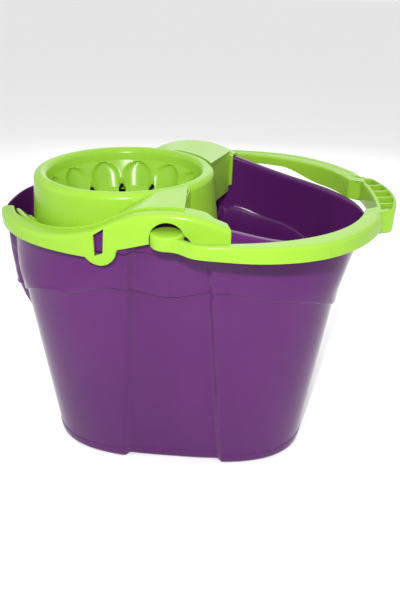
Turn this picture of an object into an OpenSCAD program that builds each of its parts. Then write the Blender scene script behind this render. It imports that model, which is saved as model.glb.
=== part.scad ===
// Oval mop bucket with a lift-out wringer and a swinging bail handle.
// X runs along the bucket with the pouring lip at +X, Z is up, the base stands on z = 0.

/* [Bucket] */
// Length of the base
base_l = 279; // [240:1:340]
// Depth of the base, front to back
base_d = 188; // [160:1:230]
// Outward lean of the two ends, mm per mm of height
lean_x = 0.108; // [0.06:0.001:0.13]
// Outward lean of the front and back, mm per mm of height
lean_y = 0.105; // [0.07:0.001:0.12]
// Wall and floor thickness
wall = 2.4; // [1.8:0.1:3.5]
// Height of the step round the wall, at the middle of each side
ledge_z = 208; // [170:1:225]
// How far the wall steps outward at the ledge
ledge_step = 2; // [1:0.5:3]
// Height of the rim at its two ends
rim_end_z = 254; // [235:1:290]
// How much higher the rim is at the handle pivots
rim_rise = 30; // [20:1:40]
// Depth of the sunken middle panel on each side
panel_in = 6; // [4:0.5:7]
// Half width of the sunken panel at the base
panel_half = 50; // [40:1:60]

/* [Rim] */
// From the pivot line to the rim's left end
rim_left = 178; // [170:1:230]
// From the pivot line to the tip of the pouring lip
rim_right = 184; // [170:1:225]
// Depth across the outside of the rim
rim_d = 261; // [240:1:300]
// Width of the rim's outward flange
flange_w = 7; // [5:0.5:10]
// Height of the flange's lower edge beside the wringer
flange_low = 251; // [225:1:280]

/* [Wringer] */
// Outer radius of the wringer cup at its rim
cup_r = 90; // [75:1:95]
// Distance from the pivot line to the cup's axis
cup_x = 59; // [50:1:75]
// Height of the cup's rim above the rim's ends
cup_up = 41; // [34:1:50]
// Depth of the cup's outer wall
cup_skirt = 53; // [45:1:60]
// Width of the rolled rim of the cup
cup_roll = 13; // [9:0.5:16]
// Number of scoops and drain holes round the cup
scoops = 12; // [8:1:16]
// Diameter of a drain hole
drain_d = 8; // [5:0.5:10]
// Reach of the wings past the pivot line
wing_reach = 52; // [40:1:60]
// Gap between the wringer's band and the bucket's rim
band_gap = 0.3; // [0.2:0.1:0.8]

/* [Handle] */
// Length of the bow, from the pivot line to the outside of the grip
bow_l = 209; // [203:1:260]
// Width across the outside of the bow
bow_w = 317; // [310:1:360]
// Thickness of the bow
bow_t = 11; // [9:0.5:14]
// Depth of the grip
grip_t = 20; // [16:0.5:24]
// From the pivot line to the inner edge of the grip
bow_in_l = 188; // [187:0.5:236]
// Width of the opening inside the bow
bow_in_w = 294; // [290:1:336]
// Radius of the round hubs
hub_r = 14; // [11:0.5:15]
// Diameter of the pivot pins
pin_d = 10; // [7:0.5:12]
// Clearance round a pivot pin
pin_gap = 0.05; // [0.02:0.01:0.09]

/* [Hidden] */
around = 72;                                  // points in each ring of the bucket
rim_power = 2.2;                              // roundness of the rim's plan
body_power = 3;                               // roundness of the body's plan
lean_edge = 4;                                // rounding at the foot and of the panel's edges
rim_mid_z = rim_end_z + rim_rise;
pivot_z = rim_mid_z - 11.5;
face_y = base_d / 2 + lean_y * pivot_z + ledge_step - panel_in;  // outer face of the ears
ear_t = 5.2;                                  // length of an ear's bore
ear_edge = 0.8;
hub_gap = 0.5;
hub_y = face_y + hub_gap + hub_r;
notch_r = sqrt(pow(hub_r, 2) + pow(bow_t / 2, 2)) + 0.9;
band_t = 2.2;
purple = [0.36, 0.13, 0.42];
green = [0.56, 0.80, 0.20];

function clamp01(v) = min(1, max(0, v));
function smooth(v) = let (c = clamp01(v)) c * c * (3 - 2 * c);
function mix(a, b, k) = a + (b - a) * k;
function signed_power(v, e) = sign(v) * pow(abs(v), e);
function oval(t, a, b, n) = [a * signed_power(cos(t), 2 / n), b * signed_power(sin(t), 2 / n)];

// ---- shape of the bucket ----
// how much of the panel's sinking a point at x has, at height z
function in_panel(x, z) = smooth((panel_half - 0.065 * z + lean_edge - abs(x)) / (2 * lean_edge));
function sink(p, z, depth) = [p.x, p.y - sign(p.y) * depth * in_panel(p.x, z)];
function body_plan(t, z, out) = sink(oval(t, base_l / 2 + lean_x * z + out,
                                          base_d / 2 + lean_y * z + out, body_power), z, panel_in);
function rim_plan(t, inset) = oval(t, (cos(t) < 0 ? rim_left : rim_right) - inset,
                                   rim_d / 2 - inset, rim_power);
function rim_sunk(t, inset, depth) = sink(rim_plan(t, inset), pivot_z, depth);
// the rim falls from each pivot to the ends, and lifts again a little over the tipping grip
rise_left = 70;
rise_right = 85;
grip_lift = 3;
function rim_z(x) = rim_end_z + rim_rise / (1 + pow(abs(x) / (x < 0 ? rise_left : rise_right), 3))
    + grip_lift * smooth((-x - 110) / 60);
// the ledge waves: low in the panel, high beside it, dropping under the two ends
function ledge(x) = let (u = abs(x) / (base_l / 2 + lean_x * ledge_z))
    ledge_z - 34 * pow(min(u, 1), 6) + (u < 0.6 ? 9 * pow(sin(180 * u / 0.6), 2) : 0);
function low_z(x) = flange_low - 8 * smooth((x - 40) / 30);

// a ring of the wall; part runs from 0 at the ledge to 1 at the rim
function upper_point(t, part, inset) =
    let (zl = ledge(rim_plan(t, 0).x) + 1.5,
         z = mix(zl, rim_z(rim_plan(t, 0).x) - 5, part),
         swell = cos(t) < 0 ? 1 - pow(1 - part, 3) : part,
         p = mix(body_plan(t, z, ledge_step - inset),
                 rim_sunk(t, flange_w + inset, panel_in - 1.4), swell))
    [p.x, p.y, z];
function lower_point(t, part, inset, foot) =
    let (z = mix(foot, ledge(rim_plan(t, 0).x), part), p = body_plan(t, z, -inset)) [p.x, p.y, z];
function at(p, z) = [p.x, p.y, z];

function ring_angle(i) = 360 * i / around;
flange_sink = panel_in + 1.4;
floor_z = wall + 1;
rings = [
    [for (i = [0:around - 1]) at(body_plan(ring_angle(i), 0, -lean_edge), 0)],
    [for (i = [0:around - 1]) at(body_plan(ring_angle(i), lean_edge, 0), lean_edge)],
    [for (i = [0:around - 1]) lower_point(ring_angle(i), 0.5, 0, lean_edge)],
    [for (i = [0:around - 1]) lower_point(ring_angle(i), 1, 0, lean_edge)],
    for (part = [0:0.25:1]) [for (i = [0:around - 1]) upper_point(ring_angle(i), part, 0)],
    [for (i = [0:around - 1]) let (t = ring_angle(i), p = rim_sunk(t, wall, flange_sink))
        at(p, rim_z(p.x) - 5)],
    [for (i = [0:around - 1]) let (t = ring_angle(i), p = rim_sunk(t, wall, flange_sink))
        at(p, low_z(p.x))],
    [for (i = [0:around - 1]) let (t = ring_angle(i), p = rim_sunk(t, 0, flange_sink))
        at(p, low_z(p.x))],
    [for (i = [0:around - 1]) let (t = ring_angle(i), p = rim_sunk(t, 0.6, flange_sink))
        at(p, rim_z(p.x) - 3)],
    [for (i = [0:around - 1]) let (t = ring_angle(i), p = rim_sunk(t, 3, flange_sink - 1))
        at(p, rim_z(p.x))],
    [for (i = [0:around - 1]) let (t = ring_angle(i), p = rim_sunk(t, flange_w + 1, panel_in - 1.4))
        at(p, rim_z(p.x))],
    for (part = [1:-0.25:0]) [for (i = [0:around - 1]) upper_point(ring_angle(i), part, wall)],
    [for (i = [0:around - 1]) lower_point(ring_angle(i), 1, wall, lean_edge)],
    [for (i = [0:around - 1]) lower_point(ring_angle(i), 0.5, wall, lean_edge)],
    [for (i = [0:around - 1]) at(body_plan(ring_angle(i), floor_z + lean_edge, -wall), floor_z + lean_edge)],
    [for (i = [0:around - 1]) at(body_plan(ring_angle(i), floor_z, -wall - lean_edge), floor_z)],
];

// skins a stack of rings and closes its first and last ring with a fan
module skinned(stack, first, last) {
    n = len(stack[0]);
    flat = [for (r = stack) each r];
    top = len(stack) - 1;
    sides = [for (k = [0:top - 1], i = [0:n - 1]) each let (j = (i + 1) % n, a = k * n)
        [[a + i, a + n + j, a + j], [a + i, a + n + i, a + n + j]]];
    start = [for (i = [0:n - 1]) [len(flat), i, (i + 1) % n]];
    end = [for (i = [0:n - 1]) [len(flat) + 1, top * n + (i + 1) % n, top * n + i]];
    polyhedron(points = concat(flat, [first, last]), faces = concat(sides, start, end));
}

module along_y(r, y0, y1) {
    translate([0, y0, pivot_z]) rotate([-90, 0, 0]) cylinder(r = r, h = y1 - y0, $fn = 64);
}

module both_sides() {
    children();
    mirror([0, 1, 0]) children();
}

module bucket() {
    color(purple) difference() {
        union() {
            skinned(rings, [0, 0, 0], [0, 0, floor_z]);
            both_sides() along_y(notch_r + ear_edge, face_y - ear_t, face_y);
        }
        both_sides() along_y(notch_r, face_y, rim_d);
        both_sides() along_y(pin_d / 2 + pin_gap, face_y - 2 * ear_t, face_y + 1);
    }
}

// ---- the wringer ----
cup_top = rim_end_z + cup_up;
cup_in = cup_r - cup_roll;
drain_r = cup_in - 13;
drain_z = cup_top - 45;
cup_wall = 2.5;

module cup_shell() {
    rotate_extrude($fn = 72) polygon([
        [cup_r + 2.5, cup_top - cup_skirt], [cup_r + 1, cup_top - 20], [cup_r, cup_top - 7],
        [cup_r - 2, cup_top - 2.5], [cup_r - cup_roll / 2, cup_top], [cup_in + 2, cup_top - 2],
        [cup_in, cup_top - 5], [cup_in - 1.5, cup_top - 12], [drain_r + 3, drain_z + 2],
        [drain_r - 6, drain_z - 4], [0, drain_z - 12], [0, drain_z - 12 - cup_wall],
        [drain_r - 5, drain_z - 4 - cup_wall], [drain_r + 3 + cup_wall, drain_z],
        [cup_in - 1.5 + cup_wall, cup_top - 12], [cup_in + cup_wall, cup_top - 6],
        [cup_r - cup_wall - 1, cup_top - 6], [cup_r - cup_wall + 1, cup_top - 20],
        [cup_r - cup_wall + 2.5, cup_top - cup_skirt]]);
}

// the ridges between the scoops stand a little inside the cup's cone
module ridges() {
    for (k = [0:scoops - 1]) rotate((k + 0.5) * 360 / scoops) rotate([90, 0, 0])
        linear_extrude(2.4, center = true) polygon([
            [cup_in - 0.5, cup_top - 12], [drain_r + 4, drain_z + 3], [drain_r - 0.5, drain_z + 5],
            [drain_r + 2, drain_z + 16], [cup_in - 4, cup_top - 15]]);
}

function crest_z(x) = rim_z(x) + 1 + band_gap + band_t
    + 6.8 * (abs(x) < (x < 0 ? 66 : 48) ? cos(90 * x / (x < 0 ? 66 : 48)) : 0);
// lower edge of the band: a lobe round the clip window, then up over the pivot's notch
clip_x = -58.5;
window_w = 8;
window_z = rim_end_z + 1;
lobe_r = 15.5;
lobe_z = rim_end_z + 6;
function lobe_low(x) = lobe_z - sqrt(pow(lobe_r, 2) - pow(x - clip_x, 2));
function band_edge(x) = x < clip_x ? rim_end_z - 3.4 : rim_end_z + 1.9 + 0.28 * (x - clip_x);
function band_low(x) = (abs(x - clip_x) < lobe_r ? min(band_edge(x), lobe_low(x)) : band_edge(x))
    - 18 * smooth((x - 14) / 14);
// where the web meets the cup: the nearest point at first, then further and further round
function cup_point(p) = let (a = atan2(p.y, p.x + cup_x) - 20 * smooth((p.x + 60) / 73))
    [(cup_r - 0.5) * cos(a) - cup_x, (cup_r - 0.5) * sin(a)];
band_out = band_gap + band_t + 1;
inner_edge = 13.5;                            // how far in from the rim the band reaches
near_tip = 164;                               // where each side of the band starts
far_tip = 150;
end_angle = acos(pow(wing_reach / rim_right, rim_power / 2));
web_end_angle = 88;
function lip_inset(x) = inner_edge + 7.5 * smooth((42 - abs(x)) / 10);
function lip_low(x) = mix(crest_z(x) - 7, rim_end_z - 8, smooth((x + 6) / 14));
function web_z(x) = mix(rim_end_z - 6, cup_top - 6, smooth((x + 130) / 150));
// a point of the plan, set a little below the band's crest at its own place along the bucket
function under_crest(p, drop) = at(p, crest_z(p.x) - drop);

// inverted U that rides on the rim: five points outside, five inside
function band_section(t) =
    let (o = rim_plan(t, -band_out), i = rim_plan(t, band_t - band_out), in = lip_inset(o.x),
         lip = rim_plan(t, in + 0.5), lip_under = rim_plan(t, in + 0.5 - band_t))
    [at(o, band_low(o.x)), under_crest(rim_plan(t, 0.3 - band_out), 4),
     under_crest(rim_plan(t, 3.5 - band_out), 0), under_crest(rim_plan(t, in), 0.6),
     at(lip, lip_low(lip.x)), at(lip_under, lip_low(lip_under.x)),
     under_crest(rim_plan(t, in - band_t), 0.6 + band_t), under_crest(rim_plan(t, 3.8 - band_out), band_t),
     under_crest(i, 5), at(i, band_low(i.x))];
// the web that joins the band to the cup
function web_section(t) =
    let (o = rim_plan(t, inner_edge - 2), top = crest_z(o.x) - 1, reach = smooth((o.x + 170) / 26),
         lip = mix(rim_plan(t, inner_edge + 3), cup_point(o), reach), z = mix(top - 1, web_z(o.x), reach),
         shoulder = mix(o, lip, 0.4), shoulder_z = mix(top, z, 0.3))
    [at(o, top), at(shoulder, shoulder_z), at(lip, z),
     at(lip, z - band_t), at(shoulder, shoulder_z - band_t), at(o, top - band_t + 0.5)];

// skins open sections; each is a thin strip, so its ends close with a ladder of triangles
module strip(sections) {
    n = len(sections[0]);
    last = len(sections) - 1;
    sides = [for (k = [0:last - 1], i = [0:n - 1]) each let (j = (i + 1) % n, a = k * n)
        [[a + i, a + n + j, a + j], [a + i, a + n + i, a + n + j]]];
    ladder = [for (i = [0:n / 2 - 2]) each [[i, n - 1 - i, n - 2 - i], [i, n - 2 - i, i + 1]]];
    start = [for (f = ladder) [f[2], f[1], f[0]]];
    end = [for (f = ladder) [for (i = f) last * n + i]];
    polyhedron(points = [for (r = sections) each r], faces = concat(sides, start, end));
}
module wing(tip) {
    strip([for (k = [0:40]) band_section(mix(tip, end_angle, k / 40))]);
    strip([for (k = [0:30]) web_section(mix(tip - 2, web_end_angle, k / 30))]);
}

// the notch over the pivot is open below, so the wringer lifts past the handle's hub
module notch() {
    along_y(notch_r, face_y - 1, rim_d);
    translate([-notch_r, face_y - 1, pivot_z - 2 * hub_r]) cube([2 * notch_r, rim_d, 2 * hub_r]);
}
module clip_window() {
    translate([clip_x, rim_d / 2 - 14, 0]) mirror([0, 1, 0]) rotate([90, 0, 0]) linear_extrude(40)
        polygon([[-window_w / 2, window_z - 1.5], [window_w / 2, window_z + 1],
                 [window_w / 2 + 1.5, window_z + 24], [-window_w / 2, window_z + 17]]);
}

module wringer() {
    color(green) difference() {
        union() {
            translate([-cup_x, 0, 0]) {
                cup_shell();
                ridges();
            }
            wing(far_tip);
            mirror([0, 1, 0]) wing(near_tip);
        }
        both_sides() notch();
        both_sides() clip_window();
        for (k = [0:scoops - 1]) translate([-cup_x, 0, 0]) rotate((k + 0.5) * 360 / scoops)
            translate([drain_r, 0, drain_z - 20]) cylinder(d = drain_d, h = 40, $fn = 16);
    }
}

// ---- the handle ----
neck_x = 30;                                  // where the arms have reached the full bow
grip_skin = 3;
grip_half = 50;                               // half length of the grip, between its two shoulders
shoulder = 7;                                 // length of a shoulder
arm_out_l = bow_l - 3;                        // the arms aim at these points, and stop at the grip
arm_in_l = bow_in_l - 10;
rib_pitch = 19.5;
rib_t = 2.4;

// the arms draw in towards the grip, and the grip steps outwards between two shoulders
function in_grip(y, half) = smooth((half + shoulder - abs(y)) / shoulder);
function bow_out(t) = let (y = bow_w / 2 * pow(1 - pow(cos(t), 4), 1 / 1.3) * sign(t),
                           arm = arm_out_l * cos(t) - 7 * smooth((75 - abs(y)) / 30))
    [mix(arm, bow_l - 10 * pow(y / grip_half, 2), in_grip(y, grip_half)), y];
function bow_in(t) = let (y = bow_in_w / 2 * pow(1 - pow(cos(t), 2.4), 1 / 2.4) * sign(t))
    [mix(arm_in_l * cos(t), bow_in_l - 4 * pow(y / grip_half, 2), in_grip(y, grip_half - 8)), y];
module bow_2d() {
    difference() {
        polygon([for (t = [-90:1:90]) bow_out(t)]);
        polygon([for (t = [-90:1:90]) bow_in(t)]);
    }
}
module grip_2d() {
    intersection() {
        bow_2d();
        translate([0, -grip_half - shoulder]) square([2 * bow_l, 2 * (grip_half + shoulder)]);
    }
}
module beyond(x) { translate([x, -bow_w / 2]) square([bow_l, bow_w]); }
// joins a hub to the bow
module neck_2d() {
    polygon([[0, hub_y + hub_r], [8, hub_y + hub_r], [20, bow_w / 2 - 6], [neck_x, bow_w / 2 - 2.5],
             [neck_x, bow_in_w / 2 - 1.5], [22, bow_in_w / 2 - 5], [hub_r, hub_y + 4], [0, hub_y]]);
}
module grip_cells_2d() {
    difference() {
        intersection() {
            offset(delta = -grip_skin) bow_2d();
            translate([0, grip_skin - grip_half]) square([2 * bow_l, 2 * (grip_half - grip_skin)]);
        }
        for (k = [-1.5:1:1.5]) translate([0, k * rib_pitch - rib_t / 2]) square([2 * bow_l, rib_t]);
    }
}
module handle() {
    top = pivot_z + bow_t / 2;
    color(green) difference() {
        union() {
            translate([0, 0, pivot_z - bow_t / 2]) linear_extrude(bow_t) {
                intersection() { bow_2d(); beyond(neck_x - 1); }
                both_sides() neck_2d();
            }
            both_sides() translate([0, hub_y, pivot_z - bow_t / 2])
                cylinder(r = hub_r, h = bow_t, $fn = 64);
            both_sides() along_y(pin_d / 2, face_y - ear_t - 1, hub_y);
            translate([0, 0, top - grip_t]) linear_extrude(grip_t) grip_2d();
        }
        translate([0, 0, top - grip_t + grip_skin]) linear_extrude(grip_t) grip_cells_2d();
    }
}

bucket();
wringer();
handle();
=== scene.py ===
# %% [markdown]
# # A mop bucket with its wringer
#
# The real thing is three plastic mouldings that snap together: a purple oval
# bucket, a lime green wringer that clips over its rim, and a lime green bow
# handle that swings on two pins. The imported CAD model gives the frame, the
# bodies and the joints. This notebook gives the three mouldings their true
# surfaces and finishes, and every piece rides on its CAD body.

# %% Load the frame
import math

import bmesh
import bpy
from mathutils import Matrix, Vector


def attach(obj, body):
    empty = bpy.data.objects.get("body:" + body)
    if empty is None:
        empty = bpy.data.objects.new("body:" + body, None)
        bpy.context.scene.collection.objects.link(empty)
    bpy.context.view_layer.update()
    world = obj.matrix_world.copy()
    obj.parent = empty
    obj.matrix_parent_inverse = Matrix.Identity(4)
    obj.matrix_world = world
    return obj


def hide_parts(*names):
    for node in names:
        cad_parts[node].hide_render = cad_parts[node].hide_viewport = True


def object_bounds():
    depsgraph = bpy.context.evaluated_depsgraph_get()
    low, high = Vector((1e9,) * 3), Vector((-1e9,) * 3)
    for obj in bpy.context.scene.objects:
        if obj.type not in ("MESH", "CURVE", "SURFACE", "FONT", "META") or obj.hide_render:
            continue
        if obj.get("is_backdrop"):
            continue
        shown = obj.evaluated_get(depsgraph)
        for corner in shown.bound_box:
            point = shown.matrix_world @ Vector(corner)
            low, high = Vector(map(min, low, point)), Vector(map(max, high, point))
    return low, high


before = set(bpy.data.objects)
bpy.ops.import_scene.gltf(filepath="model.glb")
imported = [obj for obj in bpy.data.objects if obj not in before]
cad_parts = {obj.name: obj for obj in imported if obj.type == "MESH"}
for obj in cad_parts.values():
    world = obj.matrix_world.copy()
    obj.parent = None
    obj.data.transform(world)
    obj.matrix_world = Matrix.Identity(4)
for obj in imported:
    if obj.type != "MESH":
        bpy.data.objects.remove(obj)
cad_low, cad_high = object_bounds()
MM = 0.001
print("CAD box", cad_low, cad_high)

# %% [markdown]
# ## Small helpers
#
# All sizes below are in millimetres, and a piece is scaled to metres once, at
# its end. Plastic mouldings are full of soft changes, so three curves come
# first: a mix of two values, a soft step, and a soft bump.


# %% Curves
def mix(a, b, share):
    return a + (b - a) * share


def smooth(value):
    value = min(1.0, max(0.0, value))
    return value * value * (3 - 2 * value)


def bump(value, centre, half):
    """1 at the centre, falling softly to 0 at half on both sides."""
    away = abs(value - centre) / half
    return math.cos(math.pi / 2 * away) ** 2 if away < 1 else 0.0


def oval(turn, half_x, half_y, power):
    """A point of a rounded oval. Its x runs as a cosine, so the long sides are finely divided."""
    cosine = math.cos(turn)
    y = half_y * max(0.0, 1 - abs(cosine) ** power) ** (1 / power)
    return half_x * cosine, math.copysign(y, math.sin(turn))


# %% [markdown]
# A moulding's surface is a row of sections. The first section is drawn as
# vertices and edges, and each next one is extruded from the last and put in
# its place. A number kept on each vertex says which point of the section it
# is, and the extrude operator copies that number to the new vertex.


# %% Loft
def loft(bm, sections, ring):
    """Skins sections of equal length, each a closed ring or an open line. Returns the first and last edges."""
    place = bm.verts.layers.int.get("place") or bm.verts.layers.int.new("place")
    verts = [bm.verts.new(point) for point in sections[0]]
    for index, vert in enumerate(verts):
        vert[place] = index
    ends = verts[1:] + verts[:1] if ring else verts[1:]
    first = edges = [bm.edges.new(pair) for pair in zip(verts, ends)]
    for section in sections[1:]:
        made = bmesh.ops.extrude_edge_only(bm, edges=edges)["geom"]
        for vert in made:
            if isinstance(vert, bmesh.types.BMVert):
                vert.co = section[vert[place]]
        edges = [e for e in made if isinstance(e, bmesh.types.BMEdge)]
    return first, edges


def cap(bm, edges):
    """Closes a ring of edges with one face, cut into a fan from its middle."""
    face = bmesh.ops.contextual_create(bm, geom=edges)["faces"][0]
    bmesh.ops.poke(bm, faces=[face])


def fill_strip(bm, edges):
    """Closes the thin end of a strip."""
    bmesh.ops.triangulate(bm, faces=bmesh.ops.contextual_create(bm, geom=edges)["faces"])


# %% [markdown]
# A finished piece sits at the origin, unturned and unscaled, and its place is
# in its mesh. Its faces point outwards. Edges that turn sharply are marked, so
# that smooth shading stops there.


# %% Pieces and cuts
SHARP = math.radians(32)


def make_object(bm, name):
    bmesh.ops.remove_doubles(bm, verts=bm.verts[:], dist=0.01)
    bmesh.ops.recalc_face_normals(bm, faces=bm.faces[:])
    mesh = bpy.data.meshes.new(name)
    bm.to_mesh(mesh)
    bm.free()
    piece = bpy.data.objects.new(name, mesh)
    bpy.context.scene.collection.objects.link(piece)
    return piece


def combine(piece, others, operation):
    """Joins the others to a piece, or cuts them from it, and removes them."""
    for other in others:
        step = piece.modifiers.new("combine", "BOOLEAN")
        step.operation = operation
        step.solver = "EXACT"
        step.object = other
    graph = bpy.context.evaluated_depsgraph_get()
    result = bpy.data.meshes.new_from_object(piece.evaluated_get(graph))
    piece.modifiers.clear()
    piece.data = result
    for other in others:
        bpy.data.objects.remove(other)
    return piece


def finish_mesh(piece):
    bm = bmesh.new()
    bm.from_mesh(piece.data)
    bmesh.ops.transform(bm, matrix=Matrix.Scale(MM, 4), verts=bm.verts[:])
    bmesh.ops.dissolve_degenerate(bm, edges=bm.edges[:], dist=0.01 * MM)
    for face in bm.faces:
        face.smooth = True
    for edge in bm.edges:
        edge.smooth = edge.is_manifold and edge.calc_face_angle(0) < SHARP
    bm.to_mesh(piece.data)
    print(piece.name, "has", len(bm.faces), "faces and", sum(not e.is_manifold for e in bm.edges), "open edges")
    bm.free()
    return piece


def rod(name, radius, length, segments=96):
    """A cylinder about the origin, along Z."""
    bm = bmesh.new()
    bmesh.ops.create_cone(bm, cap_ends=True, segments=segments, radius1=radius, radius2=radius, depth=length)
    return make_object(bm, name)


def put(piece, *moves):
    """Moves a piece's mesh by each matrix in turn."""
    for move in moves:
        piece.data.transform(move)
    return piece


def along_y(radius, low, high, name):
    """A rod about the pivot line, from y low to y high."""
    return put(rod(name, radius, high - low), Matrix.Rotation(math.pi / 2, 4, "X"),
               Matrix.Translation((0, (low + high) / 2, PIVOT_Z)))


# %% [markdown]
# ## The bucket
#
# The pail leans out from an oval base. The middle of each long side is sunk a
# few millimetres, which stiffens the wall, and a small ledge waves round it
# under the rim. The left end bulges into a grip for tipping, and the right end
# is drawn into a pouring lip. The rim rises at the middle of each side, where
# the handle turns, and a flange hangs from it all round.

# %% Sizes of the bucket
BASE_HALF_X, BASE_HALF_Y = 139.5, 94
LEAN_X, LEAN_Y = 0.108, 0.105
WALL = 2.4
PANEL_IN = 6
FLANGE_IN = 7.4
LEDGE_Z, LEDGE_STEP = 208, 2
RIM_END_Z, RIM_RISE = 254, 30
RIM_LEFT, RIM_RIGHT, RIM_HALF_Y = 178, 184, 130.5
GRIP_LIFT, RISE_LEFT, RISE_RIGHT = 3, 70, 85
FLANGE_W = 7
PIVOT_Z = RIM_END_Z + RIM_RISE - 11.5
FACE_Y = BASE_HALF_Y + LEAN_Y * PIVOT_Z + LEDGE_STEP - PANEL_IN
NOTCH_R, HUB_CLEAR = 15.94, 14.9
BODY_POWER, RIM_POWER = 3, 2.2
NOSE_LOW, NOSE_FULL, NOSE_HALF, NOSE_X = 144, 200, 40, 178
LIP_LOW, LIP_HALF, LIP_OUT = 145, 57, 7
AROUND = 480


# %% The shape of the wall and the rim
def rim_z(x):
    lift = GRIP_LIFT * smooth((-x - 110) / 60)
    spread = RISE_LEFT if x < 0 else RISE_RIGHT
    return RIM_END_Z + RIM_RISE / (1 + (abs(x) / spread) ** 3) + lift


def panel(x, z):
    return smooth((53 - 0.065 * z - abs(x)) / 6)


def sink(x, y, z, depth):
    return Vector((x, y - math.copysign(depth * panel(x, z), y), z))


def rim(turn, inset, z=None, depth=FLANGE_IN):
    reach = RIM_LEFT if math.cos(turn) < 0 else RIM_RIGHT
    x, y = oval(turn, reach - inset, RIM_HALF_Y - inset, RIM_POWER)
    return sink(x, y, rim_z(x) if z is None else z, depth)


def ledge_z(x):
    share = min(1.0, abs(x) / (BASE_HALF_X + LEAN_X * LEDGE_Z))
    wave = 9 * math.sin(math.pi * share / 0.6) ** 2 if share < 0.6 else 0
    return LEDGE_Z - 34 * share**6 + wave


def ends(point, out):
    """Adds the tipping grip at the left end and the pouring lip at the right."""
    x, y, z = point
    if x < 0 and abs(y) < NOSE_HALF and z > NOSE_LOW:
        rise = 1 - (1 - min(1.0, (z - NOSE_LOW) / (NOSE_FULL - NOSE_LOW))) ** 2.8
        side = (1 - (abs(y) / NOSE_HALF) ** 2.4) ** 0.42
        x = min(x, mix(x, -NOSE_X - out, rise * side))
    if x > 0 and z > LIP_LOW:
        share = (z - LIP_LOW) / (RIM_END_Z - LIP_LOW)
        half = max(1.0, LIP_HALF * share**0.8)
        x += LIP_OUT * share * max(0.0, 1 - (math.hypot(y, 3) - 3) / half)
    return Vector((x, y, z))


def wall_at(turn, z, out):
    """The wall below the ledge, moved out or in."""
    x, y = oval(turn, BASE_HALF_X + LEAN_X * z + out, BASE_HALF_Y + LEAN_Y * z + out, BODY_POWER)
    return ends(sink(x, y, z, PANEL_IN), out)


def upper_at(turn, z, out):
    """The wall above the ledge, which turns into the rim's rounder oval."""
    low = LEDGE_Z - 10
    part = min(1.0, max(0.0, (z - low) / (rim_z(rim(turn, 0).x) - low)))
    swell = 1 - (1 - part) ** 3 if math.cos(turn) < 0 else part
    body = BASE_HALF_X + LEAN_X * z + LEDGE_STEP + out, BASE_HALF_Y + LEAN_Y * z + LEDGE_STEP + out
    reach = (RIM_LEFT if math.cos(turn) < 0 else RIM_RIGHT) - FLANGE_W + out
    x, y = oval(turn, mix(body[0], reach, swell), mix(body[1], RIM_HALF_Y - FLANGE_W + out, swell),
                mix(BODY_POWER, RIM_POWER, swell))
    return ends(sink(x, y, z, mix(PANEL_IN, PANEL_IN - 1.4, part)), out)


def flange_low(x):
    """The flange's lower edge: it dips round each pivot, at the panel's edge and in a long lobe beside it."""
    right = bump(x, 87, 38) if x > 0 else 0
    return 255.5 - 5.2 * bump(x, 0, 20) - 3 * bump(x, 36, 7) - 11 * right


# %% [markdown]
# The skin is one closed loft of rings: up the outside, round the rim and its
# flange, down the inside and over the floor. Each ring is a rule that takes an
# angle and gives a point.

# %% The rings of the bucket
turns = [2 * math.pi * (i + 0.5) / AROUND for i in range(AROUND)]
rules = []


def ledge_here(turn):
    return ledge_z((BASE_HALF_X + LEAN_X * LEDGE_Z) * math.cos(turn))


def lower_ring(part, out, foot):
    rules.append(lambda turn: wall_at(turn, mix(foot, ledge_here(turn) - 1.5, part), out))


def upper_ring(part, out):
    rules.append(lambda turn: upper_at(turn, mix(ledge_here(turn) + 1.5, rim_z(rim(turn, 0).x) - 5, part), out))


def ledge_ring(rise, out):
    rules.append(lambda turn: wall_at(turn, ledge_here(turn) + rise, out))


def foot_ring(z, out):
    rules.append(lambda turn: wall_at(turn, z, out))


FOOT_ROUND, SKIRT_Z = 4, 12.4
for k in range(6):
    angle = math.pi / 2 * k / 5
    foot_ring(FOOT_ROUND * (1 - math.sin(angle)), 0.5 - FOOT_ROUND * (1 - math.cos(angle)))
rules.reverse()
rules.insert(0, lambda turn: wall_at(turn, 0, -FOOT_ROUND - 3))
rules.insert(0, lambda turn: wall_at(turn, 1.5, -FOOT_ROUND - 5))
for z in (6, 8, 10, SKIRT_Z - 0.5):
    foot_ring(z, 0.5)
foot_ring(SKIRT_Z - 0.1, 0.35)
foot_ring(SKIRT_Z + 0.4, 0)
for k in range(14):
    lower_ring(k / 13, 0, SKIRT_Z + 2)
LEDGE_CURVE = ((-0.9, 0.1), (-0.4, 0.6), (0.1, 1.5), (0.6, 1.9))
for rise, out in LEDGE_CURVE:
    ledge_ring(rise, out)
for k in range(13):
    upper_ring(k / 12, 0)


def end_share(turn):
    """1 in the middle of the two ends, where the flange fades into the grip and the lip."""
    return smooth((34 - abs(rim(turn, 0).y)) / 12)


def skirt_low(turn):
    x = rim(turn, 0).x
    return mix(flange_low(x), rim_z(x) - 7, end_share(turn))


def skirt_in(turn):
    return mix(WALL, 0.5, end_share(turn))


rules.append(lambda turn: rim(turn, skirt_in(turn), rim_z(rim(turn, 0).x) - 5))
rules.append(lambda turn: rim(turn, skirt_in(turn), skirt_low(turn) + 0.4))
rules.append(lambda turn: rim(turn, skirt_in(turn) / 2, skirt_low(turn) - 0.1))
rules.append(lambda turn: rim(turn, 0, skirt_low(turn) + 0.6))


def bead_rule(share):
    """A point across the rim's top, from the flange's outer face at 0 to the inside of the wall at 1."""
    drop = 3.2 * abs(2 * share - 1) ** 6

    def rule(turn):
        outer = rim(turn, 0)
        inner = upper_at(turn, outer.z - 3, -WALL)
        point = outer.lerp(inner, share)
        point.z = rim_z(point.x) - drop
        return point

    return rule


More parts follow.
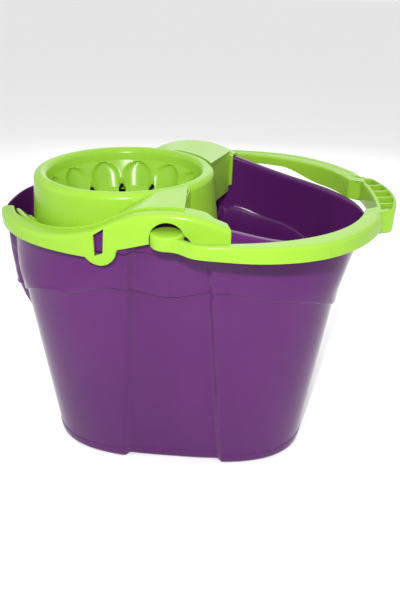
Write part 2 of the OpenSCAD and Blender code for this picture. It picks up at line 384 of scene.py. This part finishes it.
BEAD = 18
for k in range(BEAD + 1):
    rules.append(bead_rule((1 - math.cos(math.pi * k / BEAD)) / 2))
for k in range(12, -1, -1):
    upper_ring(k / 12, -WALL)
for rise, out in reversed(LEDGE_CURVE):
    ledge_ring(rise - 0.4, out - WALL)
FLOOR_Z = 3.4
for k in range(13, -1, -1):
    lower_ring(k / 13, -WALL, FLOOR_Z + 9)
for k in range(6):
    angle = math.pi / 2 * k / 5
    foot_ring(FLOOR_Z + 7 * (1 - math.sin(angle)), -WALL - 7 * (1 - math.cos(angle)))

# %% Build the bucket
bm = bmesh.new()
first, last = loft(bm, [[rule(turn) for turn in turns] for rule in rules], ring=True)
cap(bm, first)
cap(bm, last)
bucket = make_object(bm, "bucket_shell")
for side in (-1, 1):
    boss = along_y(NOTCH_R + 0.8, side * FACE_Y, side * (FACE_Y - 5.2), "ear")
    combine(bucket, [boss], "UNION")
    clear = along_y(NOTCH_R, side * FACE_Y, side * (RIM_HALF_Y + 5), "clear")
    bore = along_y(5.1, side * (FACE_Y - 9), side * (FACE_Y + 1), "bore")
    combine(bucket, [clear, bore], "DIFFERENCE")
finish_mesh(bucket)

# %% [markdown]
# ## The wringer
#
# The cup takes the mop head. Its wall is one turned skin with a fat rounded
# rim. Inside, twelve shallow scoops lie side by side, and a drain hole sits at
# the foot of each ridge between them. Lofting rings about the cup's axis lets
# the scoops be pressed into the wall where they belong.

# %% Sizes of the cup
CUP_X, CUP_TOP, CUP_R, CUP_IN = -59, 295, 90, 76.5
SCOOPS, SCOOP_TOP, SCOOP_DEPTH = 12, 280, 3.6
DRAIN_R, DRAIN_D = 64, 8
CUP_WALL = 2.5
CUP_AROUND = 360


# %% The cup
def scoop(angle, z):
    """How deep the scoops lie in the wall: round at the top, with ridges between them."""
    pitch = 2 * math.pi / SCOOPS
    across = abs((angle / pitch + 0.5) % 1 - 0.5) * 2
    down = min(1.0, max(0.0, (SCOOP_TOP - z) / 15))
    width = 0.9 * math.sqrt(max(0.0, 1 - (1 - down) ** 2)) + 1e-6
    hollow = max(0.0, 1 - (across / width) ** 2)
    return SCOOP_DEPTH * hollow**0.8 * smooth((z - 247) / 7)


def cup_point(angle, radius, z, pressed):
    radius += scoop(angle, z) * pressed
    return Vector((CUP_X + radius * math.cos(angle), radius * math.sin(angle), z))


rim_arc = [(83.2 + 6.8 * math.sin(math.pi * (0.5 - k / 16)), 288.4 + 6.6 * math.cos(math.pi * (0.5 - k / 16)))
           for k in range(17)]
cup_profile = [(94.5, 243), (93, 256), (91.6, 270), (90.6, 280)] + rim_arc
cup_profile += [(76, 286), (75.6, 284)]
cup_profile += [(mix(75.6, 62.5, k / 18), mix(283, 250, k / 18)) for k in range(19)]
cup_profile += [(61.5, 248.8), (60, 247.6), (57, 246.4), (52, 245.2), (35, 242), (15, 239), (4, 238)]
under = [(4, 235.5), (35, 239.3), (53, 242.5), (60, 244.4), (64, 247.6)]
under += [(mix(65, 78.2, k / 14), mix(250, 283, k / 14)) for k in range(15)]
under += [(79, 287), (82, 291), (85.5, 291), (87.6, 287), (88.2, 280), (90.6, 256), (92, 243)]

cup_turns = [2 * math.pi * (i + 0.5) / CUP_AROUND for i in range(CUP_AROUND)]
rings = [[cup_point(t, r, z, 1.0) for t in cup_turns] if 250 <= z <= 283 and r < 76 else
         [cup_point(t, r, z, 0.0) for t in cup_turns] for r, z in cup_profile]
rings += [[cup_point(t, r, z, 1.0 if 66 < r < 79 and z < 284 else 0.0) for t in cup_turns] for r, z in under]
rings.append(rings[0])
bm = bmesh.new()
loft(bm, rings, ring=True)
bmesh.ops.remove_doubles(bm, verts=bm.verts[:], dist=0.01)
for z in (238, 235.5):
    edge_ring = [e for e in bm.edges if e.is_boundary and abs(e.verts[0].co.z - z) < 0.1]
    if edge_ring:
        cap(bm, edge_ring)
wringer = make_object(bm, "wringer_shell")
print("cup rings", len(rings))

# %% [markdown]
# The band is a thin strip folded over the rim, from near the left end to just
# past the pivot. Its crest rises over the hub, and a lobe hangs down round the
# clip's window. A web carries it to the cup: low beside the bucket's end, and
# level with the cup's rim near the pivot. Each section across a strip is drawn
# with its thickness. Both sides are drawn on the far side, and the near one is
# then flipped over. The far band starts later, and its web reaches further.

# %% Sizes of the band
BAND_OUT, BAND_T = 3.6, 2.3
INNER_EDGE = 13.5
CLIP_X, LOBE_R, LOBE_Z = -58.8, 15.5, 260
NEAR_TIP, FAR_TIP = math.radians(165.5), math.radians(151.5)
NEAR_WEB_END, FAR_WEB_END = math.radians(85.7), math.radians(75.3)
END_X = 52


def crest_z(x):
    half = 66 if x < 0 else 48
    return rim_z(x) + 3.6 + 6.8 * (math.cos(math.pi / 2 * x / half) if abs(x) < half else 0)


def band_low(x):
    """The band's lower edge: a round lobe hangs below the clip's window, and the edge climbs to the notch."""
    edge = 250.6 if x < CLIP_X else 255.9 + 0.28 * (x - CLIP_X)
    if abs(x - CLIP_X) < LOBE_R:
        edge = min(edge, LOBE_Z - math.sqrt(LOBE_R**2 - (x - CLIP_X) ** 2))
    return edge - 18 * smooth((x - 14) / 14)


def edge_inset(x):
    """How far in from the rim the band reaches: narrow at its tip."""
    return mix(INNER_EDGE - 5, INNER_EDGE, smooth((x + 176) / 30))


def lip_inset(x):
    return edge_inset(x) + 7.5 * smooth((42 - abs(x)) / 8)


def lip_low(x):
    return mix(crest_z(x) - 7, mix(233, 246, smooth((x - 30) / 22)), smooth((x + 4) / 8))


def rounded(points, radii, steps=5):
    """A line through 2-D points whose inner corners are arcs of the given radii."""
    line = [Vector(points[0])]
    for k in range(1, len(points) - 1):
        corner = Vector(points[k])
        back, ahead = (Vector(points[k - 1]) - corner), (Vector(points[k + 1]) - corner)
        reach = min(radii[k - 1], 0.45 * back.length, 0.45 * ahead.length)
        start, end = corner + back.normalized() * reach, corner + ahead.normalized() * reach
        for i in range(steps + 1):
            share = i / steps
            line.append(start * (1 - share) ** 2 + corner * 2 * share * (1 - share) + end * share**2)
    return line + [Vector(points[-1])]


def thicken(line, thickness):
    """The closed outline of a strip that lies to the right of a 2-D line."""
    under = []
    for k, point in enumerate(line):
        along = (line[min(k + 1, len(line) - 1)] - line[max(k - 1, 0)]).normalized()
        under.append(point + Vector((along.y, -along.x)) * thickness)
    return line + under[::-1]


def rim_edge(turn, inset):
    point = rim(turn, inset, 0, 0)
    return point.x, point.y


# %% Sections of the band and the web
def band_section(turn):
    x = rim_edge(turn, -BAND_OUT)[0]
    inset = lip_inset(x)
    top = crest_z(x)
    line = rounded([(-BAND_OUT, band_low(x)), (-BAND_OUT, top), (inset, top - 0.6), (inset + 0.8, lip_low(x))],
                   (5, 3.2))
    section = []
    for d, z in thicken(line, BAND_T):
        px, py = rim_edge(turn, d)
        own = crest_z(px) - top if z > top - 9 else 0
        section.append(Vector((px, py, z + own * smooth((z - top + 9) / 6))))
    return section


def on_cup(x, y):
    """Where the web meets the cup's rim: the nearest point at first, then further and further round."""
    sweep = math.radians(20) * smooth((x + 60) / 73) + math.radians(13) * smooth((x - 13) / 31)
    angle = math.atan2(y, x - CUP_X) - sweep
    return Vector((CUP_X + (CUP_R - 1.5) * math.cos(angle), (CUP_R - 1.5) * math.sin(angle)))


def web_section(turn):
    x, y = rim_edge(turn, edge_inset(rim_edge(turn, INNER_EDGE)[0]) - 3)
    top = crest_z(x) - 0.8
    target = on_cup(x, y)
    reach = smooth((x + 170) / 26)
    span = mix(4.0, (target - Vector((x, y))).length, reach)
    valley = mix(246, 264, smooth((x + 142) / 80))
    level = mix(valley, CUP_TOP - 2.2, smooth((x + 75) / 60))
    toward = (target - Vector((x, y))).normalized()
    line = []
    for k in range(15):
        share = k / 14
        fall = smooth(share * 1.15) if level < top else share
        line.append(Vector((share * span, mix(top, mix(top - 1, level, reach), fall))))
    return [Vector((x, y, 0)) + Vector((*(toward * d), z)) for d, z in thicken(line, -BAND_T)]


def strip(sections, name):
    bm = bmesh.new()
    first, last = loft(bm, sections, ring=True)
    fill_strip(bm, first)
    fill_strip(bm, last)
    return make_object(bm, name)


def other_side(pieces):
    """Moves pieces to the other side of the bucket."""
    for piece in pieces:
        put(piece, Matrix.Scale(-1, 4, (0, 1, 0)))
        piece.data.flip_normals()
    return pieces


END_TURN = math.acos(END_X / (RIM_RIGHT + BAND_OUT))
BAND_STEPS, WEB_STEPS, WEB_BACK = 300, 90, 0.12


def side_of_wringer(tip, web_end, name):
    """The band and its web from a tip to just past the pivot, on the far side."""
    band_turns = [mix(tip, END_TURN, k / BAND_STEPS) for k in range(BAND_STEPS + 1)]
    web_turns = [mix(tip - WEB_BACK, web_end, k / WEB_STEPS) for k in range(WEB_STEPS + 1)]
    return [strip([band_section(turn) for turn in band_turns], name + "_band"),
            strip([web_section(turn) for turn in web_turns], name + "_web")]


parts = side_of_wringer(FAR_TIP, FAR_WEB_END, "far")
parts += other_side(side_of_wringer(NEAR_TIP, NEAR_WEB_END, "near"))

# %% [markdown]
# Beside the cup each web ends in an upright wall, a little hollow in plan. It
# runs from the cup's flank to the band's inner skirt and stiffens the bridge.
# The far wall slants, because the far web is wider.


# %% The web's end wall
def end_wall_section(start, end, share):
    x, y = mix(start[0], end[0], share), mix(start[1], end[1], share)
    x -= 1.6 * math.sin(math.pi * share)
    top = mix(CUP_TOP - 3.2, crest_z(x) - 1.2, smooth(share))
    low = mix(246, 238, share)
    outline = rounded([(x - BAND_T, low), (x - BAND_T, top - 0.6), (x, top - 0.6), (x, low)], (1, 1), 3)
    return [Vector((px, y, pz)) for px, pz in outline]


def end_wall(start, end, name):
    return strip([end_wall_section(start, end, k / 24) for k in range(25)], name)


parts.append(end_wall((24.5, 20), (43.4, 113), "far_wall"))
parts += other_side([end_wall((12.8, 52), (12.8, 112), "near_wall")])
combine(wringer, parts, "UNION")

# %% [markdown]
# The band is notched over each hub, open below, so that the wringer lifts off
# past the handle. A slanted window snaps over the rim, and the drain holes are
# cut last, one at the foot of each ridge.


# %% Notches, windows and drain holes
def prism(outline, low, high, name):
    """A 2-D outline in x and z, extruded from y low to y high."""
    bm = bmesh.new()
    face = bm.faces.new([bm.verts.new((x, low, z)) for x, z in outline])
    made = bmesh.ops.extrude_face_region(bm, geom=[face])["geom"]
    bmesh.ops.translate(bm, verts=[v for v in made if isinstance(v, bmesh.types.BMVert)], vec=(0, high - low, 0))
    return make_object(bm, name)


cutters = []
for side in (-1, 1):
    arch = [(HUB_CLEAR * math.cos(a), PIVOT_Z + HUB_CLEAR * math.sin(a))
            for a in (math.pi * k / 48 for k in range(49))]
    arch = [(HUB_CLEAR, PIVOT_Z - 30)] + arch + [(-HUB_CLEAR, PIVOT_Z - 30)]
    cutters.append(prism(arch, side * (FACE_Y - 1), side * 150, "notch"))
    window = [(CLIP_X - 3.6, 252.7), (CLIP_X + 3.9, 255.8), (CLIP_X + 5.6, 277.9), (CLIP_X - 3.8, 271.6)]
    cutters.append(prism(window, side * 124.5, side * 150, "window"))
for k in range(SCOOPS):
    angle = 2 * math.pi * (k + 0.5) / SCOOPS
    hole = put(rod("hole", DRAIN_D / 2, 30, 24), Matrix.Translation(
        (CUP_X + DRAIN_R * math.cos(angle), DRAIN_R * math.sin(angle), 249)))
    cutters.append(hole)
combine(wringer, cutters, "DIFFERENCE")
finish_mesh(wringer)

# %% [markdown]
# ## The handle
#
# The bow is one loft from hub to hub. Its arms are hollow underneath, narrow
# at the hubs and wider towards the grip, where their inner walls deepen like
# leaves. The grip is a deep channel, open on top, with ribs across it.

# %% Sizes of the handle
BOW_TOP = PIVOT_Z + 5.2
BOW_L, BOW_HALF, BOW_IN_L, BOW_IN_HALF = 209, 158.2, 188, 147
ARM_L, ARM_IN_L, ARM_TAPER, ARM_IN_POWER = 206, 178, 1.3, 2.4
ARM_DEPTH, GRIP_DEPTH, SKIN = 11, 21.5, 2.0
HUB_R, HUB_Y, HUB_T = 14, 133.1, 12.5
GRIP_HALF, CHANNEL_HALF, SHOULDER = 50, 47.5, 6
RIB_PITCH, RIB_T = 19.5, 2.4


def in_grip(y, half=GRIP_HALF):
    """1 inside the grip, falling to 0 over a shoulder."""
    return smooth((half + SHOULDER - abs(y)) / SHOULDER)


def grip_out(y):
    return BOW_L - 10 * (y / GRIP_HALF) ** 2


def grip_inside(y):
    return BOW_IN_L - 4 * (y / GRIP_HALF) ** 2


def arm_edges(turn):
    """Where the bow's outer and inner edges lie. The arms draw in, and the grip steps outwards from them."""
    cosine, side = math.cos(turn), math.copysign(1, math.sin(turn))
    oy = side * BOW_HALF * (1 - cosine**4) ** (1 / ARM_TAPER)
    iy = side * BOW_IN_HALF * (1 - cosine**ARM_IN_POWER) ** (1 / ARM_IN_POWER)
    ox = ARM_L * cosine - 7 * smooth((75 - abs(oy)) / 30)
    ox = mix(ox, grip_out(oy), in_grip(oy))
    ix = mix(ARM_IN_L * cosine, grip_inside(iy), in_grip(iy, GRIP_HALF - 8))
    near = smooth(1.25 - ox / 30)
    oy = mix(oy, side * (145.4 + 9.3 * smooth((ox - 4) / 24)), near)
    iy = mix(iy, side * (134 + 9.5 * smooth((ix - 2) / 26)), near)
    return Vector((ox, oy)), Vector((ix, iy))


def bow_section(turn):
    outer, inner = arm_edges(turn)
    grip = smooth((GRIP_HALF + SHOULDER - abs(outer.y)) / 2)
    leaf = smooth((inner.x - 105) / 45)
    deep_out = mix(mix(ARM_DEPTH, 13, smooth((outer.x - 20) / 60)), GRIP_DEPTH, grip)
    deep_in = mix(ARM_DEPTH, GRIP_DEPTH, max(leaf, grip))
    width = (outer - inner).length
    top = [(0, -deep_out), (0, 0), (0.30 * width, 0.1), (0.36 * width, -0.7), (width, -1.2), (width, -deep_in)]
    line = rounded(top, (2.7, 0.6, 0.6, 2.6), 4)
    roof = thicken(line, SKIN)[len(line):]
    across = (inner - outer).normalized()
    section = [Vector((*(outer + across * d), BOW_TOP + z)) for d, z in line]
    for d, z in roof:
        z = mix(z, min(z, mix(-deep_in, -deep_out, 1 - d / width)) if grip else z, grip)
        section.append(Vector((*(outer + across * min(max(d, 0.4), width - 0.4)), BOW_TOP + z)))
    return section


BOW_STEPS = 300
bow_turns = [math.radians(mix(-90, 90, k / BOW_STEPS)) for k in range(BOW_STEPS + 1)]
handle = strip([bow_section(t) for t in bow_turns], "handle_bow")

# %% Hubs, pins and the channel in the grip
hubs = []
for side in (-1, 1):
    bm = bmesh.new()
    bmesh.ops.create_cone(bm, cap_ends=True, segments=96, radius1=HUB_R, radius2=HUB_R, depth=HUB_T)
    sharp = [e for e in bm.edges if abs(e.verts[0].co.z - e.verts[1].co.z) < 0.1]
    bmesh.ops.bevel(bm, geom=sharp, offset=2.2, offset_type="OFFSET", affect="EDGES", segments=4, profile=0.5,
                    material=-1)
    hub = put(make_object(bm, "hub"), Matrix.Translation((0, side * HUB_Y, BOW_TOP - ARM_DEPTH + HUB_T / 2)))
    hubs += [hub, along_y(5, side * (FACE_Y - 6.2), side * HUB_Y, "pin")]
combine(handle, hubs, "UNION")

cells = []
for k in range(-2, 3):
    low = max(k * RIB_PITCH - RIB_PITCH / 2 + RIB_T / 2, -CHANNEL_HALF)
    high = min(k * RIB_PITCH + RIB_PITCH / 2 - RIB_T / 2, CHANNEL_HALF)
    outline = []
    for j in range(9):
        y = mix(low, high, j / 8)
        outline.append((grip_out(y) - 3.2, y))
    inside = []
    for j in range(9):
        y = mix(high, low, j / 8)
        inside.append((grip_inside(y) + 3, y))
    bm = bmesh.new()
    face = bm.faces.new([bm.verts.new((x, y, BOW_TOP - GRIP_DEPTH + 3)) for x, y in outline + inside])
    made = bmesh.ops.extrude_face_region(bm, geom=[face])["geom"]
    bmesh.ops.translate(bm, verts=[v for v in made if isinstance(v, bmesh.types.BMVert)], vec=(0, 0, 40))
    cells.append(make_object(bm, "cell"))
combine(handle, cells, "DIFFERENCE")
finish_mesh(handle)

# %% [markdown]
# ## Finishes
#
# The mouldings are glossy polypropylene. Real ones aren't one flat colour: the
# pigment drifts a little where the melt flowed, the polish is uneven, and use
# leaves fine scratches. A small class wraps a socket, so that shader maths
# reads as plain expressions.


# %% A socket that does arithmetic
class Value:
    def __init__(self, socket):
        self.socket = socket

    @property
    def tree(self):
        return self.socket.id_data

    def _math(self, operation, *others):
        return node(self.tree, "ShaderNodeMath", {"operation": operation}, [self, *others])

    def __add__(self, other):
        return self._math("ADD", other)

    def __mul__(self, other):
        return self._math("MULTIPLY", other)

    def __sub__(self, other):
        return self._math("SUBTRACT", other)

    def __rsub__(self, other):
        return node(self.tree, "ShaderNodeMath", {"operation": "SUBTRACT"}, [other, self])

    __radd__ = __add__
    __rmul__ = __mul__


def node(tree, kind, settings, values, output=0):
    """Adds a node, sets it up, then fills or links its inputs, given as a list or by name."""
    made = tree.nodes.new(kind)
    for name, value in settings.items():
        setattr(made, name, value)
    pairs = values.items() if isinstance(values, dict) else enumerate(values)
    for key, value in pairs:
        if isinstance(value, Value):
            tree.links.new(value.socket, made.inputs[key])
        else:
            made.inputs[key].default_value = value
    return Value(made.outputs[output])


def noise(tree, place, scale, detail=3.0, stretch=(1, 1, 1)):
    moved = node(tree, "ShaderNodeMapping", {}, {"Vector": place, "Scale": stretch})
    return node(tree, "ShaderNodeTexNoise", {}, {"Vector": moved, "Scale": scale, "Detail": detail}, "Fac")


def soft_step(tree, value, low, high):
    return node(tree, "ShaderNodeMapRange", {"interpolation_type": "SMOOTHSTEP", "clamp": True},
                {"Value": value, "From Min": low, "From Max": high}, "Result")


# %% The moulded plastic
def moulded(name, colour, deep, roughness, flow):
    """Glossy moulded plastic: two shades that drift along the flow, uneven polish and fine scratches."""
    material = bpy.data.materials.new(name)
    material.use_nodes = True
    tree = material.node_tree
    shader = tree.nodes["Principled BSDF"]
    place = node(tree, "ShaderNodeTexCoord", {}, {}, "Object")
    drift = soft_step(tree, noise(tree, place, 14, 3, flow), 0.35, 0.68)
    cloud = noise(tree, place, 60, 4)
    tint = node(tree, "ShaderNodeMix", {"data_type": "RGBA"},
                {"Factor": drift * 0.7 + cloud * 0.3, "A": (*deep, 1), "B": (*colour, 1)}, "Result")
    scratch = soft_step(tree, noise(tree, place, 420, 2, (1, 1, 0.06)), 0.66, 0.78)
    across = soft_step(tree, noise(tree, place, 420, 2, (0.06, 0.08, 1)), 0.68, 0.8)
    wear = soft_step(tree, noise(tree, place, 22, 2), 0.5, 0.75)
    marks = (scratch + across) * wear
    grain = noise(tree, place, 900, 2)
    polish = cloud * 0.08 + grain * 0.05 + marks * 0.16 + (roughness - 0.06)
    waviness = noise(tree, place, 24, 2)
    height = waviness * 1.0 + grain * 0.012 - marks * 0.02
    tree.links.new(tint.socket, shader.inputs["Base Color"])
    tree.links.new(polish.socket, shader.inputs["Roughness"])
    relief = node(tree, "ShaderNodeBump", {}, {"Strength": 0.12, "Distance": 0.0012, "Height": height}, "Normal")
    tree.links.new(relief.socket, shader.inputs["Normal"])
    shader.inputs["IOR"].default_value = 1.49
    shader.inputs["Specular IOR Level"].default_value = 0.22
    return material


purple = moulded("purple_polypropylene", (0.080, 0.0120, 0.102), (0.067, 0.0095, 0.087), 0.15, (1, 1, 0.35))
lime = moulded("lime_polypropylene", (0.235, 0.44, 0.031), (0.205, 0.395, 0.026), 0.25, (0.5, 0.5, 1))

for piece, body, old, slot, finish in ((bucket, "bucket", "bucket", "bucket_plastic", purple),
                                       (wringer, "wringer", "wringer", "wringer_plastic", lime),
                                       (handle, "handle", "handle", "handle_plastic", lime)):
    piece.data.materials.clear()
    piece.data.materials.append(finish)
    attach(piece, body)
    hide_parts(old)

# %% [markdown]
# ## Floor, light and camera
#
# The set is a pale floor in a bright room. A small lamp just above the camera
# throws the short shadows under the green band and the bow, and large soft
# panels round the set fill in the sides, the top and the back.

# %% Floor and room
bm = bmesh.new()
bmesh.ops.create_grid(bm, x_segments=2, y_segments=2, size=40)
floor_mesh = bpy.data.meshes.new("floor")
bm.to_mesh(floor_mesh)
bm.free()
floor = bpy.data.objects.new("floor", floor_mesh)
bpy.context.scene.collection.objects.link(floor)
paper = bpy.data.materials.new("white_paper")
paper.use_nodes = True
sheet = paper.node_tree.nodes["Principled BSDF"]
sheet.inputs["Base Color"].default_value = (0.92, 0.92, 0.92, 1)
sheet.inputs["Roughness"].default_value = 0.9
floor.data.materials.append(paper)
floor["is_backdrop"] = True

room = bpy.data.worlds.new("room")
bpy.context.scene.world = room
room.use_nodes = True
room.node_tree.nodes["Background"].inputs["Color"].default_value = (1, 1, 1, 1)
room.node_tree.nodes["Background"].inputs["Strength"].default_value = 0.85


# %% Lamps
def lamp(name, place, target, size, power):
    light = bpy.data.lights.new(name, "AREA")
    light.size = size
    light.energy = power
    holder = bpy.data.objects.new(name, light)
    holder.location = place
    holder.rotation_euler = (Vector(target) - Vector(place)).to_track_quat("-Z", "Y").to_euler()
    bpy.context.scene.collection.objects.link(holder)


bpy.context.scene.view_settings.view_transform = "Standard"
middle = (cad_low + cad_high) / 2
lamp("flash", (0.03, -0.62, 0.60), middle, 0.03, 5)
lamp("left_panel", (-1.0, -0.3, 0.5), middle, 0.8, 2)
lamp("right_panel", (1.0, -0.3, 0.5), middle, 0.8, 2)
lamp("top_panel", (0, 0.3, 1.2), middle, 1.2, 2.4)
lamp("back_panel", (0, 1.1, 0.7), middle, 1.0, 2.5)

# %% Camera
azimuth, elevation, roll = math.radians(4.38), math.radians(26.1), math.radians(0.92)
target = Vector((0.0124, 0, 0.1725))
back = Vector((math.sin(azimuth) * math.cos(elevation), -math.cos(azimuth) * math.cos(elevation),
               math.sin(elevation)))
lens = bpy.data.cameras.new("camera")
lens.lens = 35.39
lens.sensor_width = 36
lens.shift_x, lens.shift_y = 0.0101, -0.0344
camera = bpy.data.objects.new("camera", lens)
camera.location = target + back * 0.6427
camera.rotation_euler = ((-back).to_track_quat("-Z", "Y").to_matrix() @ Matrix.Rotation(roll, 3, "Z")).to_euler()
bpy.context.scene.collection.objects.link(camera)
bpy.context.scene.camera = camera

# %% Finish
bpy.context.view_layer.update()
low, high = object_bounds()
print("CAD   ", [round(v, 4) for v in (*cad_low, *cad_high)])
print("visual", [round(v, 4) for v in (*low, *high)])
